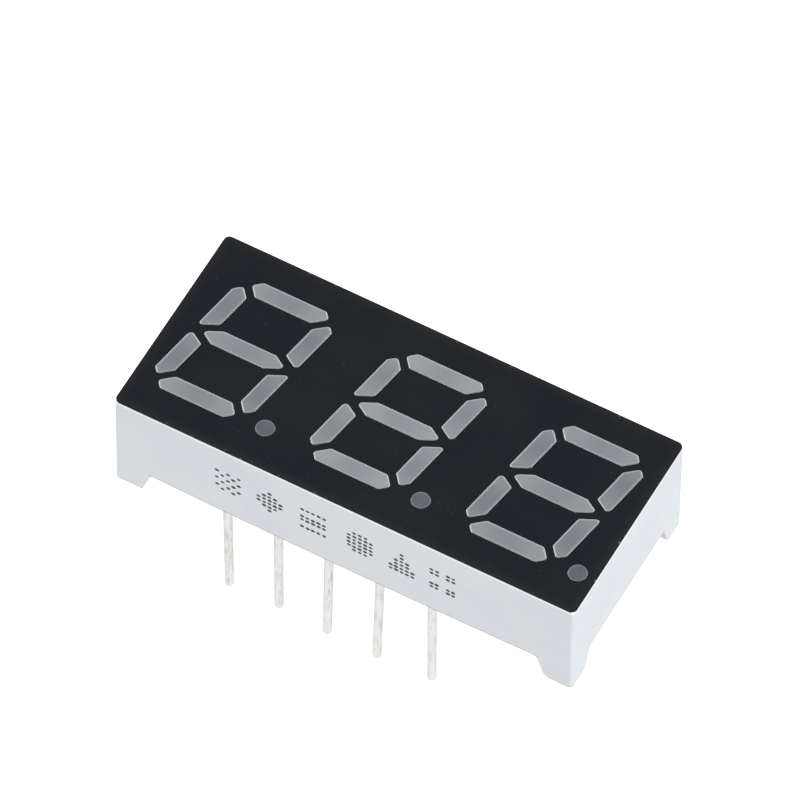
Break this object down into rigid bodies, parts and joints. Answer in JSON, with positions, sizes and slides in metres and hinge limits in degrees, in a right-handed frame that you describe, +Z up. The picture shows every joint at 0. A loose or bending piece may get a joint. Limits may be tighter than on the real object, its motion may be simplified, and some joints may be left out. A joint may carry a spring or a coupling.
{
  "type": "seven segment display",
  "caption": "Multi-digit seven segment LED display with slanted digits and decimal points, white housing, black face and two rows of round solder pins.",
  "frame": {"origin": "under the middle of the housing, on the plane of the pin tips", "axes": "+X along the row of digits, in reading order; +Y from the front wall, which has the decimal points beside it, to the back; +Z up, out of the face"},
  "size_m": [0.0226, 0.01, 0.0125],
  "materials": {
    "white_plastic": "satin cool white moulding",
    "black_print": "satin black print",
    "milky_resin": "milky translucent resin",
    "board": "glass-fibre board with green solder mask",
    "copper": "copper foil",
    "solder": "dull solder",
    "potting_resin": "cloudy cast resin",
    "chip": "semiconductor chip",
    "gold": "gold wire",
    "tinned_wire": "dull tinned wire"
  },
  "bodies": {
    "root": {"reflector_housing": "white_plastic", "face_mask": "black_print", "segment_a_digit_1": "milky_resin", "segment_b_digit_1": "milky_resin", "segment_c_digit_1": "milky_resin", "segment_d_digit_1": "milky_resin", "segment_e_digit_1": "milky_resin", "segment_f_digit_1": "milky_resin", "segment_g_digit_1": "milky_resin", "decimal_point_digit_1": "milky_resin", "segment_a_digit_2": "milky_resin", "segment_b_digit_2": "milky_resin", "segment_c_digit_2": "milky_resin", "segment_d_digit_2": "milky_resin", "segment_e_digit_2": "milky_resin", "segment_f_digit_2": "milky_resin", "segment_g_digit_2": "milky_resin", "decimal_point_digit_2": "milky_resin", "segment_a_digit_3": "milky_resin", "segment_b_digit_3": "milky_resin", "segment_c_digit_3": "milky_resin", "segment_d_digit_3": "milky_resin", "segment_e_digit_3": "milky_resin", "segment_f_digit_3": "milky_resin", "segment_g_digit_3": "milky_resin", "decimal_point_digit_3": "milky_resin", "circuit_board": "board", "pin_pads": "copper", "solder_joints": "solder", "back_potting": "potting_resin", "contact_pads_digit_1": "copper", "contact_pads_digit_2": "copper", "contact_pads_digit_3": "copper", "led_chips_digit_1": "chip", "led_chips_digit_2": "chip", "led_chips_digit_3": "chip", "bond_wires_digit_1": "gold", "bond_wires_digit_2": "gold", "bond_wires_digit_3": "gold", "pin_1": "tinned_wire", "pin_2": "tinned_wire", "pin_3": "tinned_wire", "pin_4": "tinned_wire", "pin_5": "tinned_wire", "pin_7": "tinned_wire", "pin_8": "tinned_wire", "pin_9": "tinned_wire", "pin_10": "tinned_wire", "pin_11": "tinned_wire", "pin_12": "tinned_wire"}
  },
  "joints": []
}
